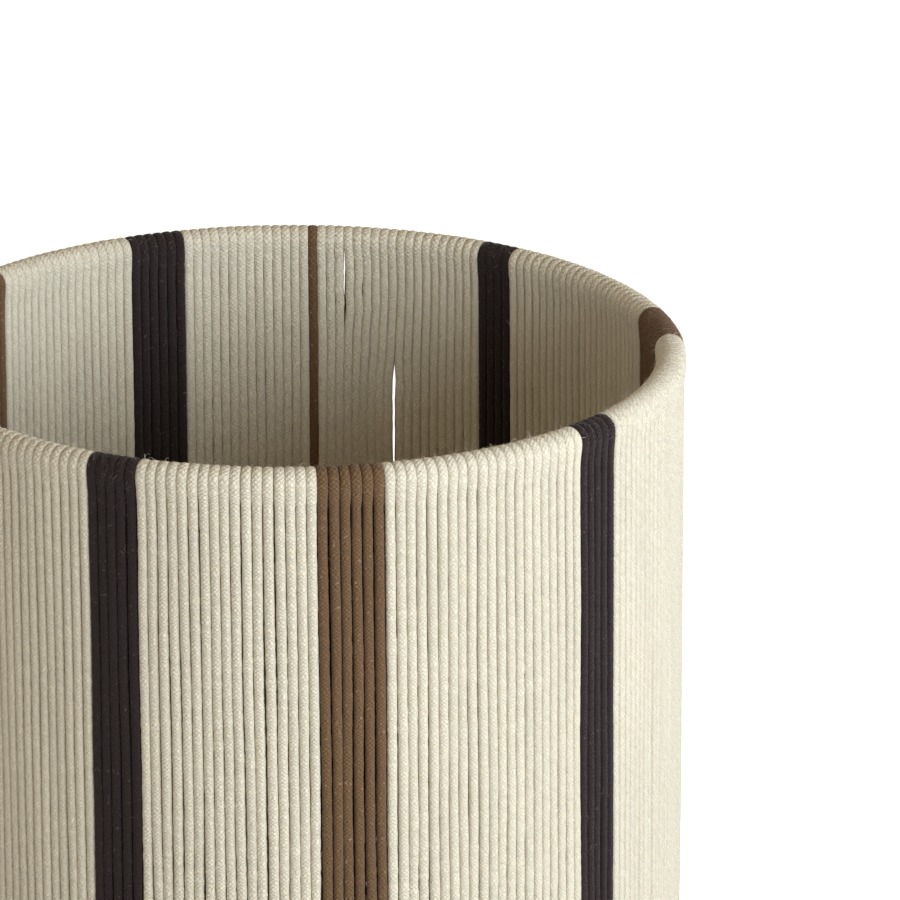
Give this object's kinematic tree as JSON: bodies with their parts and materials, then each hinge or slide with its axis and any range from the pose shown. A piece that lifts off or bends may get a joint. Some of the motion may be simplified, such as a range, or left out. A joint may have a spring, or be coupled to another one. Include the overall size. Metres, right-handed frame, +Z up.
{
  "type": "cord-wound drum lantern shade",
  "caption": "Open drum lantern shade of cotton cord wound over two wire rings, in cream with brown and black stripes, with a spider and fitter ring inside.",
  "frame": {"origin": "middle of the base, on the surface that the lower rim stands on", "axes": "+Z up along the drum's axis; -Y is the side seen from the front, +X to its right"},
  "size_m": [0.25, 0.25, 0.21],
  "materials": {
    "cream_cotton": "braided cotton cord, natural cream",
    "brown_cotton": "braided cotton cord, dyed brown",
    "black_cotton": "braided cotton cord, dyed brownish black",
    "frame_enamel": "off-white powder coat on steel wire"
  },
  "bodies": {
    "root": {"top_ring": "frame_enamel", "bottom_ring": "frame_enamel", "upright_1": "frame_enamel", "upright_2": "frame_enamel", "upright_3": "frame_enamel", "upright_4": "frame_enamel", "upright_5": "frame_enamel", "upright_6": "frame_enamel", "spider_arm_1": "frame_enamel", "spider_arm_2": "frame_enamel", "spider_arm_3": "frame_enamel", "fitter_ring": "frame_enamel", "brown_winding_1": "brown_cotton", "cream_winding_1": "cream_cotton", "black_winding_1": "black_cotton", "cream_winding_2": "cream_cotton", "brown_winding_2": "brown_cotton", "cream_winding_3": "cream_cotton", "black_winding_2": "black_cotton", "cream_winding_4": "cream_cotton", "brown_winding_3": "brown_cotton", "cream_winding_5": "cream_cotton", "black_winding_3": "black_cotton", "cream_winding_6": "cream_cotton", "brown_winding_4": "brown_cotton", "cream_winding_7": "cream_cotton", "black_winding_4": "black_cotton", "cream_winding_8": "cream_cotton", "brown_winding_5": "brown_cotton", "cream_winding_9": "cream_cotton", "black_winding_5": "black_cotton", "cream_winding_10": "cream_cotton"}
  },
  "joints": []
}
